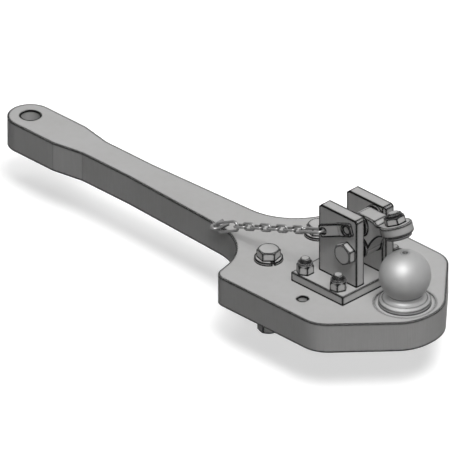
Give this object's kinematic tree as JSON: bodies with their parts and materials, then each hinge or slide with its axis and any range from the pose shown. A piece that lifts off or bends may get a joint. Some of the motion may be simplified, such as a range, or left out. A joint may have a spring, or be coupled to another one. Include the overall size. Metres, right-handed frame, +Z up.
{
  "type": "swinging drawbar plate with coupling ball",
  "caption": "Flame-cut steel drawbar plate with a pivot eye, a coupling ball and a pinned hold-down arm on a bolted bracket.",
  "frame": {"origin": "centre of the pivot eye's bore, at the middle of the plate's thickness", "axes": "+X along the arm to the coupling ball, +Z up along the eye's bore, towards the ball"},
  "size_m": [0.901, 0.29, 0.2746],
  "materials": {
    "plate_steel": "satin grey",
    "polished_steel": "turned and polished",
    "bracket_steel": "satin grey",
    "forged_steel": "satin grey",
    "chain_steel": "zinc plated",
    "fastener_steel": "zinc plated"
  },
  "bodies": {
    "drawbar": {"drawbar_plate": "plate_steel", "coupling_ball": "polished_steel", "bracket_base_plate": "bracket_steel", "right_cheek": "bracket_steel", "left_cheek": "bracket_steel", "bracket_stud_1": "fastener_steel", "bracket_stud_2": "fastener_steel", "bracket_stud_3": "fastener_steel", "bracket_stud_4": "fastener_steel", "bracket_lock_nut_1": "fastener_steel", "bracket_lock_nut_2": "fastener_steel", "bracket_lock_nut_3": "fastener_steel", "bracket_lock_nut_4": "fastener_steel", "right_clamp_bolt": "fastener_steel", "left_clamp_bolt": "fastener_steel", "right_spring_washer": "fastener_steel", "left_spring_washer": "fastener_steel", "right_clamp_nut": "fastener_steel", "left_clamp_nut": "fastener_steel", "pivot_bolt": "fastener_steel", "pivot_washer": "fastener_steel", "pivot_nut": "fastener_steel", "chain_staple": "chain_steel", "chain_ring_plate_end": "chain_steel", "retaining_chain": "chain_steel", "chain_ring_pin_end": "chain_steel"},
    "hold_down": {"hold_down_arm": "forged_steel", "pressure_screw": "fastener_steel", "pressure_screw_nut": "fastener_steel"},
    "lock_pin": {"lock_pin": "fastener_steel", "lock_pin_tab": "bracket_steel"}
  },
  "joints": [
    {"name": "lock_pin_pull", "type": "slide", "parent": "drawbar", "child": "lock_pin", "axis": [0, -1, 0], "range_m": [0, 0.066], "deforming": ["chain_ring_plate_end", "retaining_chain", "chain_ring_pin_end"]},
    {"name": "hold_down_swing", "type": "hinge", "parent": "drawbar", "child": "hold_down", "pos_m": [0.727, 0, 0.095], "axis": [0, 1, 0], "range_deg": [-0.3, 0.3]}
  ]
}
